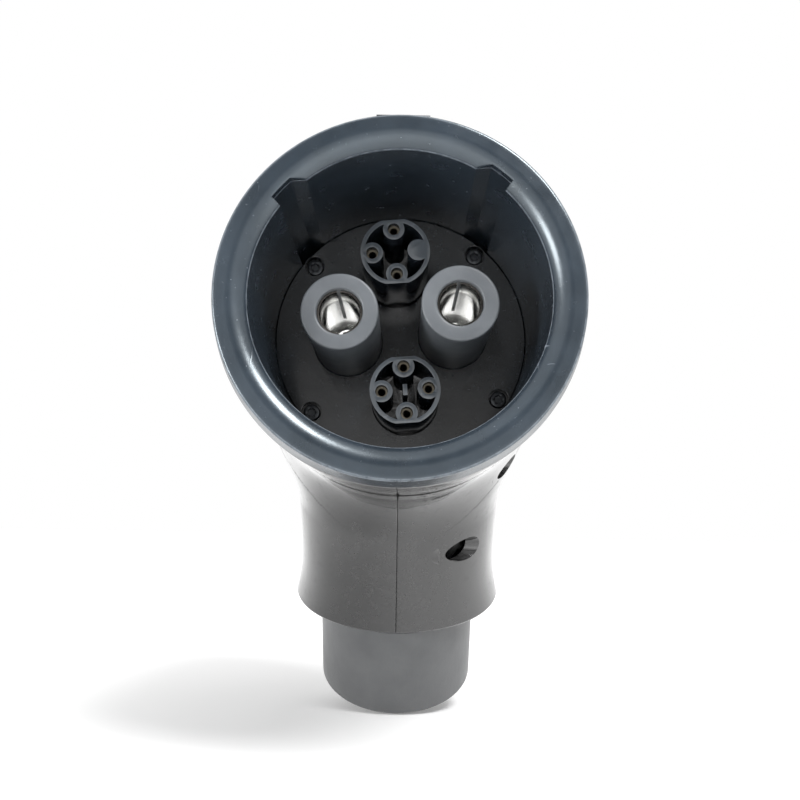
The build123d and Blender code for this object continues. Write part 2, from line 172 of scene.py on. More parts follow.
def makeRimPlastic():
    paint = Paint("rimPlastic", {"Specular IOR Level": 0.8, "Specular Tint": (0.86, 0.95, 1.0, 1.0)})
    x, y, z = paint.axes()
    cloud = paint.ramp(paint.noise(70.0, 5.0), (0.3, 0.0), (0.7, 1.0))
    base = paint.mix(cloud, rimLook["dark"], rimLook["pale"])
    scratch = paint.noise(160.0, 3.0, 0.5, (9.0, 1.0, 0.7))
    other = paint.noise(130.0, 3.0, 0.5, (0.8, 1.0, 7.0))
    patch = paint.ramp(paint.noise(55.0, 3.0, 0.6), (0.50, 0.0), (0.66, 1.0))
    lines = paint.ramp(scratch, (0.70, 0.0), (0.76, 1.0)) + paint.ramp(other, (0.71, 0.0), (0.77, 1.0))
    specks = paint.ramp(paint.noise(1500.0, 2.0, 0.6), (0.72, 0.0), (0.78, 1.0))
    wear = (lines * patch * 0.55 + specks * 0.5) * (y < 0.006)
    ring = paint.node("ShaderNodeMath", {"operation": "SQRT"}, {0: x * x + z * z})
    # lip and brim are a painted highlight: thin pale lines on the rounded inner and outer edges where light
    # catches them, broken up by noise; the scratches and specks above are wear
    lip = paint.node("ShaderNodeMath", {"operation": "COMPARE"}, {0: y, 1: 0.0024, 2: 0.00022})
    brimHighlight = (ring > 0.0385) * (y < 0.0009)
    edge = (lip * (ring < 0.0345) * 1.6 + brimHighlight) * paint.ramp(paint.noise(420.0, 4.0, 0.7), (0.25, 0.0),
            (0.65, 1.0)) * 0.3
    wearAndEdgeHighlight = paint.node("ShaderNodeClamp", None, {"Value": wear + edge})
    paint.feed("Base Color", paint.mix(wearAndEdgeHighlight, base, rimLook["scuffAndEdgeHighlight"]))
    paint.feed("Roughness", paint.noise(200.0, 5.0) * 0.16 + 0.17 + wearAndEdgeHighlight * 0.25)
    paint.bump(paint.noise(900.0, 3.0) * 0.5 + lines * -0.6, 0.00003)
    return paint.material


def makeInsertPlastic():
    paint = Paint("insertPlastic", {"Coat Weight": 0.5, "Coat Roughness": 0.1, "Specular IOR Level": 0.5})
    cloud = paint.ramp(paint.noise(60.0, 5.0), (0.3, 0.0), (0.72, 1.0))
    y = paint.axes()[1]
    # speckled dust, plus every face nearer than 24.45 mm (the signal tubes' front faces) made paler grey
    dustAndPaleFronts = paint.ramp(paint.noise(800.0, 4.0, 0.7), (0.60, 0.0), (0.74, 1.0)) * 0.35 + (y < 0.02445) * 0.42
    paint.feed("Base Color", paint.mix(dustAndPaleFronts, paint.mix(cloud, (0.006, 0.008, 0.011), (0.014, 0.018, 0.023)),
            (0.14, 0.16, 0.18)))
    paint.feed("Roughness", paint.noise(240.0, 5.0) * 0.2 + 0.1)
    paint.bump(paint.noise(60.0, 2.0) * 0.8 + paint.noise(700.0, 3.0) * 0.15, 0.00012)
    return paint.material


def makeSleevePlastic():
    paint = mouldedPlastic("sleevePlastic", (0.066, 0.073, 0.081), (0.098, 0.107, 0.117), (0.34, 0.5), 0.00003)
    return paint.material


def makeHousingPlastic():
    paint = Paint("housingPlastic", {"Coat Roughness": 0.035})
    cloud = paint.noise(45.0, 4.0)
    haze = paint.ramp(paint.noise(320.0, 5.0, 0.65), (0.52, 0.0), (0.8, 1.0))
    paint.feed("Base Color", paint.mix(haze * 0.35,
            paint.mix(cloud, (0.022, 0.022, 0.0225), (0.036, 0.036, 0.036)), (0.09, 0.09, 0.09)))
    paint.feed("Roughness", cloud * 0.1 + haze * 0.1 + 0.13)
    paint.feed("Coat Weight", 1.0 - haze * 0.4)
    ripple = paint.noise(70.0, 2.0) * 0.8 + paint.noise(900.0, 2.0) * 0.06
    paint.bump(ripple, 0.00007)
    return paint.material


def makeTailPlastic():
    paint = Paint("tailPlastic", {"Coat Weight": 0.1, "Coat Roughness": 0.3})
    cloud = paint.ramp(paint.noise(80.0, 5.0), (0.3, 0.0), (0.7, 1.0))
    streak = paint.noise(200.0, 3.0, 0.5, (6.0, 0.6, 0.6))
    paint.feed("Base Color", paint.mix(cloud, (0.085, 0.088, 0.091), (0.115, 0.118, 0.121)))
    paint.feed("Roughness", streak * 0.16 + 0.34)
    paint.bump(paint.noise(1500.0, 3.0) * 0.8 + streak * 0.2, 0.00005)
    return paint.material


def makeMetal(name, low, high, rough, brushed, grain=0.00001, metallic=1.0, dullFront=None):
    paint = Paint(name, {"Metallic": metallic})
    lines = paint.noise(500.0, 4.0, 0.6, brushed)
    colour = paint.mix(paint.ramp(lines, (0.3, 0.0), (0.7, 1.0)), low, high)
    if dullFront:  # duller up to this depth
        colour = paint.mix((paint.axes()[1] < dullFront[0]) * 0.85, colour, dullFront[1])
    paint.feed("Base Color", colour)
    paint.feed("Roughness", lines * 0.16 + rough)
    paint.bump(lines, grain)
    return paint.material


def makeRubber():
    paint = Paint("blackRubber", {"Specular IOR Level": 0.35})
    grain = paint.noise(1200.0, 4.0, 0.65)
    bloom = paint.ramp(paint.noise(130.0, 4.0), (0.45, 0.0), (0.75, 1.0))
    paint.feed("Base Color", paint.mix(bloom, (0.020, 0.020, 0.021), (0.042, 0.042, 0.044)))
    paint.feed("Roughness", bloom * 0.15 + 0.62)
    paint.bump(grain, 0.00006)
    return paint.material


rimPlastic, insertPlastic, sleevePlastic = makeRimPlastic(), makeInsertPlastic(), makeSleevePlastic()
housingPlastic, tailPlastic, blackRubber = makeHousingPlastic(), makeTailPlastic(), makeRubber()
buttonPlastic = mouldedPlastic("buttonPlastic", (0.026, 0.028, 0.031), (0.040, 0.043, 0.047), (0.42, 0.58),
        0.00005).material
switchPlastic = mouldedPlastic("switchPlastic", (0.02, 0.02, 0.022), (0.035, 0.035, 0.038)).material
latchCoat = mouldedPlastic("latchCoat", (0.030, 0.032, 0.035), (0.055, 0.058, 0.062), (0.35, 0.5), 0.00003,
        {"Metallic": 0.6}).material
solenoidCoat = mouldedPlastic("solenoidCoat", (0.20, 0.21, 0.22), (0.28, 0.29, 0.30), (0.3, 0.45)).material
# the power contacts' front lip, nearer than 14.25 mm, is mixed to a dull dark brown-grey
silverPlate = makeMetal("silverPlate", (0.95, 0.95, 0.94), (1.0, 1.0, 0.99), 0.09, (2.5, 0.5, 2.5), 0.000004,
        1.0, (0.01425, (0.16, 0.14, 0.12)))
dullBrass = makeMetal("dullBrass", (0.10, 0.09, 0.07), (0.20, 0.18, 0.14), 0.34, (1.0, 5.0, 1.0))
darkScrew = makeMetal("darkScrew", (0.03, 0.032, 0.036), (0.09, 0.095, 0.10), 0.28, (1.0, 1.0, 1.0), 0.00003)
zincSteel = makeMetal("zincSteel", (0.42, 0.43, 0.44), (0.62, 0.63, 0.64), 0.24, (4.0, 1.0, 1.0))
springSteel = makeMetal("springSteel", (0.5, 0.5, 0.5), (0.7, 0.7, 0.7), 0.2, (1.0, 1.0, 8.0))
print("materials ready")


def turnPoint(x, z, degrees):
    a = math.radians(degrees)
    return x * math.cos(a) - z * math.sin(a), x * math.sin(a) + z * math.cos(a)


def smooth(mesh, sharp):
    mesh.polygons.foreach_set("use_smooth", [True] * len(mesh.polygons))
    mesh.set_sharp_from_angle(angle=math.radians(sharp))


def meshFrom(name, work):
    mesh = bpy.data.meshes.new(name)
    work.to_mesh(mesh)
    work.free()
    return mesh


def addPiece(name, points, faces, material, sharp=32.0, tidy=False):
    mesh = bpy.data.meshes.new(name)
    mesh.from_pydata([tuple(float(c) * mm for c in p) for p in points], [], faces)
    return addMesh(name, mesh, material, sharp, tidy)


def addMesh(name, mesh, material, sharp=32.0, tidy=False):
    if tidy:
        work = bmesh.new()
        work.from_mesh(mesh)
        bmesh.ops.remove_doubles(work, verts=work.verts, dist=1e-6)
        bmesh.ops.recalc_face_normals(work, faces=work.faces)
        work.to_mesh(mesh)
        work.free()
    mesh.materials.clear()
    mesh.materials.append(material)
    smooth(mesh, sharp)
    piece = bpy.data.objects.new(name, mesh)
    bpy.context.scene.collection.objects.link(piece)
    return piece


def bake(piece, sharp=32.0):  # modifiers into a plain mesh
    bpy.context.view_layer.update()
    mesh = bpy.data.meshes.new_from_object(piece.evaluated_get(bpy.context.evaluated_depsgraph_get()))
    piece.modifiers.clear()
    old, piece.data = piece.data, mesh
    bpy.data.meshes.remove(old)
    smooth(mesh, sharp)
    return piece


def bevel(piece, width, segments=2, angle=35.0):
    modifier = piece.modifiers.new("edges", "BEVEL")
    modifier.width, modifier.segments = width * mm, segments
    modifier.limit_method, modifier.angle_limit = "ANGLE", math.radians(angle)
    modifier.harden_normals = False
    return bake(piece)


def cut(piece, *tools, operation="DIFFERENCE"):
    for tool in tools:
        modifier = piece.modifiers.new("cut", "BOOLEAN")
        modifier.operation, modifier.solver, modifier.object = operation, "EXACT", tool
        bake(piece)
        bpy.data.objects.remove(tool)
    return piece


def ringFaces(rows, columns, closed=False):  # quads between rings of points
    faces = []
    for i in range(rows if closed else rows - 1):
        k = (i + 1) % rows
        for j in range(columns):
            n = (j + 1) % columns
            faces.append((i * columns + j, i * columns + n, k * columns + n, k * columns + j))
    return faces


def latheGrid(profile, angles, place):  # place(radius, depth, angle) gives a point
    return [place(r, d, a) for r, d in profile for a in angles], ringFaces(len(profile), len(angles), True)


def evenAngles(count):
    return [2 * math.pi * i / count for i in range(count)]


def noseAxis(x=0.0, z=0.0, degrees=0.0):  # turned pieces about a line along the nose
    centre = turnPoint(x, z, degrees)
    return lambda r, d, a: (centre[0] + r * math.sin(a), d, centre[1] + r * math.cos(a))


def arc(centreR, centreD, radius, angles):
    turns = [math.radians(t) for t in angles]
    return [(centreR + radius * math.cos(t), centreD + radius * math.sin(t)) for t in turns]


def nodeCopy(name, node, material, width=0.15, sharp=32.0):  # the solid, merged and with softened edges
    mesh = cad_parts[node].data.copy()
    mesh.name = name
    piece = addMesh(name, mesh, material, sharp)
    work = bmesh.new()
    work.from_mesh(mesh)
    bmesh.ops.remove_doubles(work, verts=work.verts, dist=2e-6)
    bmesh.ops.dissolve_limit(work, angle_limit=math.radians(0.5), verts=work.verts, edges=work.edges)
    work.to_mesh(mesh)
    work.free()
    return bevel(piece, width) if width else piece


def scatter(name, spots, source, material, direction=(0, 0, 0)):
    # one copy of the source mesh at each spot, as Geometry Nodes
    mesh = bpy.data.meshes.new(name + "Spots")
    mesh.from_pydata([tuple(c * mm for c in s) for s in spots], [], [])
    holder = bpy.data.objects.new(name, mesh)
    bpy.context.scene.collection.objects.link(holder)
    tree = bpy.data.node_groups.new(name + "Tree", "GeometryNodeTree")
    tree.interface.new_socket("Geometry", in_out="INPUT", socket_type="NodeSocketGeometry")
    pieceIn = tree.interface.new_socket("Piece", in_out="INPUT", socket_type="NodeSocketObject")
    turnIn = tree.interface.new_socket("Turn", in_out="INPUT", socket_type="NodeSocketVector")
    sizeIn = tree.interface.new_socket("Size", in_out="INPUT", socket_type="NodeSocketFloat")
    tree.interface.new_socket("Geometry", in_out="OUTPUT", socket_type="NodeSocketGeometry")
    nodes, links = tree.nodes, tree.links
    entry, exitNode = nodes.new("NodeGroupInput"), nodes.new("NodeGroupOutput")
    info, copies = nodes.new("GeometryNodeObjectInfo"), nodes.new("GeometryNodeInstanceOnPoints")
    real, paint = nodes.new("GeometryNodeRealizeInstances"), nodes.new("GeometryNodeSetMaterial")
    paint.inputs["Material"].default_value = material
    links.new(entry.outputs["Piece"], info.inputs["Object"])
    links.new(entry.outputs["Geometry"], copies.inputs["Points"])
    links.new(info.outputs["Geometry"], copies.inputs["Instance"])
    links.new(entry.outputs["Turn"], copies.inputs["Rotation"])
    links.new(entry.outputs["Size"], copies.inputs["Scale"])
    links.new(copies.outputs["Instances"], real.inputs["Geometry"])
    links.new(real.outputs["Geometry"], paint.inputs["Geometry"])
    links.new(paint.outputs["Geometry"], exitNode.inputs[0])
    modifier = holder.modifiers.new("copies", "NODES")
    modifier.node_group = tree
    modifier[pieceIn.identifier] = source
    modifier[turnIn.identifier] = direction
    modifier[sizeIn.identifier] = 1.0
    bake(holder)
    holder.data.materials.clear()
    holder.data.materials.append(material)
    bpy.data.objects.remove(source)
    return holder


def settle(piece, body, slot, *nodes):
    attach(piece, body)
    if nodes:
        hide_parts(*nodes)
    return piece


rim = {"backR": 39.9, "flare": 0.9, "length": 6.5, "edge": 0.7, "tubeR": 37.1, "tubeEnd": 62.0,
       "mouthR": 32.0, "mouthDepth": 45.5, "leadWidth": 4.2, "leadDepth": 2.4, "turn": 5.0,
       "keyDepth": 2.0, "keyAngles": (34.3, 39.0, 48.5), "groove": (49.0, 3.0, 1.4), "columns": 420}


def makeNoseRing():
    slope, floor, side = rim["keyAngles"]
    angles = set(360.0 * i / rim["columns"] for i in range(rim["columns"]))
    for hand in (1, -1):
        for extra in (slope - 0.25, slope, slope + 0.25, floor - 0.3, floor, floor + 0.3, side - 0.32,
                side - 0.12, side, side + 0.08, side + 0.25):
            angles.add((hand * extra) % 360)
    angles = sorted(angles)

    def keyRise(a):
        off = min(a, 360 - a)
        if off <= slope or off >= side + 0.08:
            return 0.0
        if off >= side - 0.12:
            return rim["keyDepth"] * (side + 0.08 - off) / 0.2
        return rim["keyDepth"] * min(1.0, (off - slope) / (floor - slope))

    lip = rim["mouthR"] + rim["leadWidth"]
    rollR = (rim["leadWidth"] ** 2 + rim["leadDepth"] ** 2) / (2 * rim["leadDepth"])
    turn = math.asin(rim["leadWidth"] / rollR)
    roll = [(lip - rollR * math.sin(turn * i / 14), rollR * (1 - math.cos(turn * i / 14))) for i in range(15)]
    frontR = rim["backR"] - rim["flare"]
    edge = rim["edge"]
    face = [(frontR - edge - (frontR - edge - lip - 0.15) * i / 4, 0.0) for i in range(1, 5)]
    outer = [(rim["backR"] - 0.25, rim["length"]), (rim["backR"], rim["length"] - 0.25)]
    outer += [(rim["backR"] - rim["flare"] * i / 3, rim["length"] * (1 - i / 3) + edge * i / 3) for i in (1, 2)]
    outer += arc(frontR - edge, edge, edge, range(0, -91, -15))
    wall = [(rim["mouthR"], d) for d in (2.7, 5, 10, 16, 22, 28, 34, 40, rim["mouthDepth"] - 0.02)]
    grooveStart, grooveWidth, grooveDepth = rim["groove"]
    back = [(rim["mouthR"], rim["tubeEnd"]), (rim["tubeR"], rim["tubeEnd"]),
            (rim["tubeR"], grooveStart + grooveWidth),
            (rim["tubeR"] - grooveDepth, grooveStart + grooveWidth), (rim["tubeR"] - grooveDepth, grooveStart),
            (rim["tubeR"], grooveStart), (rim["tubeR"], rim["length"])]
    profile = outer + face + roll + wall + back
    inner = range(len(outer) + len(face), len(outer) + len(face) + len(roll) + len(wall))
    points, columns = [], len(angles)
    for i, (r, d) in enumerate(profile):
        for a in angles:
            rise = keyRise(a)
            radius = max(r, min(rim["mouthR"] + rise, lip)) if i in inner else r
            t = math.radians(a)
            x, z = turnPoint(radius * math.sin(t), radius * math.cos(t), rim["turn"])
            points.append((x, d, z))
    faces = ringFaces(len(profile), columns, True)
    piece = addPiece("noseRing", points, faces, rimPlastic, 40.0, tidy=True)
    return settle(piece, "plug", "rim_plastic", "nose_ring")


def makeGasket():
    outer, inner, near, far = 39.4, 37.12, 6.52, 7.28
    swell = [(outer - 0.2 + 0.2 * math.cos(t),
            (near + far) / 2 + (far - near) / 2 * math.sin(t)) for t in np.linspace(-math.pi / 2, math.pi / 2,
            7)]
    points, faces = latheGrid([(inner, near)] + swell + [(inner, far)], evenAngles(240), noseAxis())
    return settle(addPiece("collarGasket", points, faces, blackRubber, 40.0, tidy=True), "plug", "rubber",
            "collar_gasket")


makeNoseRing()
makeGasket()
print("nose ring ready")


sleeve = {"r": 8.65, "front": 12.5, "spacing": 26.8, "mouthR": 5.1, "lip": 1.4, "edge": 0.5, "back": 53.5}
contact = {"bore": 4.5, "wall": 0.55, "slot": 0.8, "slotLength": 24.0, "back": 75.0}
signal = {"front": 24.3, "spacing": 33.1, "r": 8.2, "pitch": 5.45, "bore": 0.8, "pinWall": 0.65,
        "recess": 1.8, "depth": 14.0, "back": 66.0}
faceScrew = {"reach": 29.45, "angles": (45.0, -35.8), "headR": 2.1, "holeR": 2.5, "sink": 0.9, "head": 1.8}


def circlePoints(x, z, r, count, start=0.0):
    return [(x + r * math.cos(start + 2 * math.pi * i / count),
            z + r * math.sin(start + 2 * math.pi * i / count)) for i in range(count)]


def screwSpots():
    out = []
    for a in faceScrew["angles"]:
        for hand in (-1, 1):
            out.append((hand * faceScrew["reach"] * math.cos(math.radians(a)),
                    faceScrew["reach"] * math.sin(math.radians(a))))
    return out


def signalSpots(centre, blank=()):
    corners = ((0, 1), (1, 0), (0, -1), (-1, 0))
    return [(x * signal["pitch"], centre + z * signal["pitch"]) for i,
            (x, z) in enumerate(corners) if i not in blank]


def slab(name, outlines, near, far, material, soften):
    # a plate across the nose from closed outlines, holes inside the first
    curve = bpy.data.curves.new(name, "CURVE")
    curve.dimensions, curve.fill_mode = "2D", "BOTH"
    half = (far - near) / 2
    curve.extrude, curve.bevel_depth, curve.bevel_resolution = (half - soften) * mm, soften * mm, 1
    curve.offset = -soften * mm
    for outline in outlines:
        spline = curve.splines.new("POLY")
        spline.points.add(len(outline) - 1)
        for point, (x, z) in zip(spline.points, outline):
            x, z = turnPoint(x, z, rim["turn"])
            point.co = (x * mm, z * mm, 0, 1)
        spline.use_cyclic_u = True
    holder = bpy.data.objects.new(name, curve)
    bpy.context.scene.collection.objects.link(holder)
    bpy.context.view_layer.update()
    mesh = bpy.data.meshes.new_from_object(holder.evaluated_get(bpy.context.evaluated_depsgraph_get()))
    bpy.data.objects.remove(holder)
    mesh.transform(Matrix.Translation((0, (near + far) / 2 * mm, 0)) @ Matrix.Rotation(math.radians(90), 4,
            "X"))
    return addMesh(name, mesh, material, 14.0, tidy=True)


def cubeTool(centre, size, material, turn=0.0):  # a cutting block, turned about the nose's depth
    work = bmesh.new()
    bmesh.ops.create_cube(work, size=1.0)
    spot = Matrix.Translation([c * mm for c in centre]) @ Matrix.Rotation(math.radians(turn), 4, "Y")
    matrix = spot @ Matrix.Diagonal((*[c * mm for c in size], 1))
    bmesh.ops.transform(work, matrix=matrix, verts=work.verts)
    return addMesh("cubeTool", meshFrom("cubeTool", work), material)


def joinPieces(target, *others, sharp=32.0):
    work = bmesh.new()
    for piece in (target, *others):
        work.from_mesh(piece.data)
    work.to_mesh(target.data)
    work.free()
    for piece in others:
        bpy.data.objects.remove(piece)
    smooth(target.data, sharp)
    return target


def makeCarrier():
    outer = circlePoints(0, 0, rim["mouthR"] - 0.1, 240)
    big = [circlePoints(hand * sleeve["spacing"] / 2, 0, sleeve["r"] + 0.1, 96) for hand in (-1, 1)]
    big += [circlePoints(0, hand * signal["spacing"] / 2, signal["r"] + 0.1, 96) for hand in (-1, 1)]
    sink = rim["mouthDepth"] + faceScrew["sink"] + faceScrew["head"]
    front = slab("carrierFace", [outer] + big + [circlePoints(x, z, faceScrew["holeR"], 32) for x,
            z in screwSpots()],
                 rim["mouthDepth"], sink, insertPlastic, 0.12)
    back = slab("carrierBack", [outer] + big + [circlePoints(x, z, 1.35, 24) for x, z in screwSpots()],
                sink - 0.01, sleeve["back"], insertPlastic, 0.01)
    settle(joinPieces(front, back, sharp=14.0), "plug", "insert_plastic", "contact_carrier")


def makeSleeve(name, hand):
    s = sleeve
    chamber, seat, lip = 5.3, 5.05, s["front"] + s["lip"]
    front = [(s["r"], s["back"]), (s["r"], s["front"] + 14), (s["r"], s["front"] + s["edge"])]
    front += arc(s["r"] - s["edge"], s["front"] + s["edge"], s["edge"], (-22, -45, -68, -90))
    front += arc(s["mouthR"] + s["edge"], s["front"] + s["edge"], s["edge"], (-90, -120, -150, -180))
    front += [(s["mouthR"], lip), (chamber, lip), (chamber, rim["mouthDepth"]), (seat, rim["mouthDepth"]),
            (seat, s["back"])]
    points, faces = latheGrid(front, evenAngles(128), noseAxis(hand * s["spacing"] / 2, 0, rim["turn"]))
    piece = addPiece(name, points, faces, sleevePlastic, 32.0, tidy=True)
    return settle(piece, "plug", "sleeve_plastic", "power_sleeve_left" if hand < 0 else "power_sleeve_right")


def makePowerContact(name, hand):
    c = contact
    outer, front = c["bore"] + c["wall"], sleeve["front"] + sleeve["lip"]
    profile = [(c["bore"] + 0.12, front), (outer - 0.08, front), (outer, front + 0.1),
            (outer, front + c["slotLength"]), (outer, 60.5), (outer - 1.1, 60.5), (outer - 1.1, c["back"]),
            (0.01, c["back"]), (0.01, rim["mouthDepth"]), (c["bore"] - 1.2, rim["mouthDepth"]),
            (c["bore"], rim["mouthDepth"] - 0.9)]
    profile += [(c["bore"], d) for d in (front + c["slotLength"], front + 16, front + 8, front + 0.25)]
    points, faces = latheGrid(profile, evenAngles(96), noseAxis(hand * sleeve["spacing"] / 2, 0, rim["turn"]))
    piece = addPiece(name, points, faces, silverPlate, 32.0, tidy=True)
    x, z = turnPoint(hand * sleeve["spacing"] / 2, 0, rim["turn"])
    size = (c["slot"], c["slotLength"] + 2, 3 * outer)
    cut(piece, cubeTool((x, front + c["slotLength"] / 2 - 1, z), size, silverPlate, -rim["turn"]))
    return settle(piece, "plug", "power_metal", "power_contact_left" if hand < 0 else "power_contact_right")


def makeSignalContacts():
    s = signal
    front, outer = s["front"] + s["recess"], s["bore"] + s["pinWall"]
    profile = [(outer, s["back"]), (outer, front + 0.15), (outer - 0.15, front), (s["bore"] + 0.15, front),
            (s["bore"], front + 0.15),
               (s["bore"], front + s["depth"]), (0.01, front + s["depth"] + 0.3), (0.01, s["back"])]
    points, faces = latheGrid(profile, evenAngles(24), noseAxis())
    source = addPiece("signalSource", points, faces, dullBrass, 32.0, tidy=True)
    spots = [turnPoint(x, z, rim["turn"]) for x, z in signalSpots(s["spacing"] / 2, (1,
            )) + signalSpots(-s["spacing"] / 2)]
    piece = scatter("signalContacts", [(x, 0, z) for x, z in spots], source, dullBrass)
    return settle(piece, "plug", "signal_metal", *[f"signal_contact_{i}" for i in range(1, 8)])


def hexRing(flatR, count):  # radius and angle round a six-sided socket
    return [(flatR / math.cos(a % (math.pi / 3) - math.pi / 6), a) for a in evenAngles(count)]


def makeFaceScrews():
    seat = rim["mouthDepth"] + faceScrew["sink"] + faceScrew["head"]
    r, top, count = faceScrew["headR"], seat - faceScrew["head"], 30
    rings = [(1.25, 58.4), (1.25, seat), (r, seat), (r, top + 0.25), (r - 0.1, top + 0.08), (r - 0.3, top),
            (1.12, top)]
    points = latheGrid(rings, evenAngles(count), noseAxis())[0]
    for depth in (top + 0.1, seat - 0.5):
        points += [(h * math.sin(a), depth, h * math.cos(a)) for h, a in hexRing(0.94, count)]
    faces = ringFaces(len(rings) + 2, count)
    faces += [tuple((len(rings) + 1) * count + j for j in range(count)), tuple(reversed(range(count)))]
    source = addPiece("faceScrewSource", points, faces, darkScrew, 32.0, tidy=True)
    spots = [turnPoint(x, z, rim["turn"]) for x, z in screwSpots()]
    piece = scatter("faceScrews", [(x, 0, z) for x, z in spots], source, darkScrew)
    return settle(piece, "plug", "face_screw_metal", *[f"face_screw_{i}" for i in range(1, 5)])


makeCarrier()
makeSleeve("powerSleeveLeft", -1)
makeSleeve("powerSleeveRight", 1)
makePowerContact("powerContactLeft", -1)
makePowerContact("powerContactRight", 1)
settle(nodeCopy("signalHousingTop", "signal_housing_top", insertPlastic, 0.1), "plug", "insert_plastic",
        "signal_housing_top")
settle(nodeCopy("signalHousingBottom", "signal_housing_bottom", insertPlastic, 0.1), "plug", "insert_plastic",
        "signal_housing_bottom")
makeSignalContacts()
makeFaceScrews()
print("contact carrier ready")


housing = {"r": 40.0, "front": 7.3, "back": 70.0, "dome": 38.0, "blend": 12.0, "wall": 2.5, "tubeR": 37.15,
           "root": 67.0, "angle": 60.8, "end": 76.0, "neckR": 17.6, "seam": 0.35, "endEdge": 0.9,
           "stations": ((10.0, 29.4, 24.4), (44.0, 29.1, 23.8), (57.0, 28.9, 23.5), (67.0, 29.3, 23.6),
           (76.0, 31.0, 24.0)),
           "screws": ((93.5, 19.0), (99.0, -3.0), (68.5, -30.5), (76.935, -53.445), (107.31, -36.468)),
           "holeR": 3.5, "seat": 9.0, "rows": 250, "columns": 170}
tilt = math.radians(housing["angle"])
gripAlong = np.array((0.0, math.cos(tilt), -math.sin(tilt)))
gripAside = np.array((0.0, -math.sin(tilt), -math.cos(tilt)))
gripRoot = np.array((0.0, housing["root"], 0.0))


def smoothCurve(x, places, values):  # natural cubic spline
    places, values = np.asarray(places, float), np.asarray(values, float)
    n, step = len(places), np.diff(places)
    system, right = np.eye(n), np.zeros(n)
    for i in range(1, n - 1):
        system[i, i - 1:i + 2] = step[i - 1], 2 * (step[i - 1] + step[i]), step[i]
        right[i] = 6 * ((values[i + 1] - values[i]) / step[i] - (values[i] - values[i - 1]) / step[i - 1])
    bend = np.linalg.solve(system, right)
    i = np.clip(np.searchsorted(places, x) - 1, 0, n - 2)
    t, u = x - places[i], places[i + 1] - x
    before, after = (values[k] / step[i] - bend[k] * step[i] / 6 for k in (i, i + 1))
    return (bend[i] * u ** 3 + bend[i + 1] * t ** 3) / (6 * step[i]) + before * u + after * t


def bodyField(p):  # below zero inside the barrel, dome and grip
    x, y, z = p[..., 0], p[..., 1], p[..., 2]
    r = np.hypot(x, z)
    round_ = np.hypot(r / housing["r"], np.maximum(y - housing["back"], 0) / housing["dome"])
    barrel = np.where(y < housing["back"], r - housing["r"], (round_ - 1) * 39.0)
    along = (y - housing["root"]) * gripAlong[1] + z * gripAlong[2]
    aside = (y - housing["root"]) * gripAside[1] + z * gripAside[2]
    places = [s[0] for s in housing["stations"]]
    held = np.clip(along, 10, housing["end"])
    a = smoothCurve(held, places, [s[1] for s in housing["stations"]])
    b = smoothCurve(held, places, [s[2] for s in housing["stations"]])
    grip = np.maximum((np.hypot(x / a, aside / b) - 1) * b, 6 - along)
    blend = housing["blend"]
    u, v = np.maximum(blend - barrel, 0), np.maximum(blend - grip, 0)
    return np.maximum(blend, np.minimum(barrel, grip)) - np.hypot(u, v)


def spineStations(count):  # straight under the barrel, an arc, then straight down the grip
    reach = 35.0
    bend = reach / math.tan(tilt / 2)
    first, second = housing["root"] - reach - housing["front"] - 0.4, bend * tilt
    third = housing["end"] - housing["endEdge"] - reach
    out = []
    for along in np.linspace(0, first + second + third, count):
        if along < first:
            out.append((housing["front"] + 0.4 + along, 0.0, 0.0))
        elif along < first + second:
            a = (along - first) / bend
            out.append((housing["root"] - reach + bend * math.sin(a), -bend * (1 - math.cos(a)), a))
        else:
            q = reach + along - first - second
            out.append((housing["root"] + q * gripAlong[1], q * gripAlong[2], tilt))
    return np.array(out)


def castOut(centres, directions, level):
    reach = np.zeros(directions.shape[:2])
    for _ in range(70):
        field = bodyField(centres[:, None, :] + directions * reach[..., None]) - level
        reach = np.where(field < -1e-4, reach + np.maximum(-field * 0.8, 0.004), reach)
    return centres[:, None, :] + directions * reach[..., None]


def shellFaces(outer, inner, columns, flip=False):  # skin, lining and the faces that join them at the seam
    count, faces = outer + inner, []
    for i in range(count):
        k = (i + 1) % count
        for j in range(columns - 1):
            quad = (i * columns + j, i * columns + j + 1, k * columns + j + 1, k * columns + j)
            faces.append(quad[::-1] if flip else quad)
    for column in (0, columns - 1):
        for i in range(outer - 1):
            c, d = (count - 1 - int(round(q * (inner - 1) / (outer - 1))) for q in (i + 1, i))
            loop = [i, i + 1, c] if c == d else [i, i + 1, c, d]
            faces.append(tuple(v * columns + column for v in loop))
    return faces


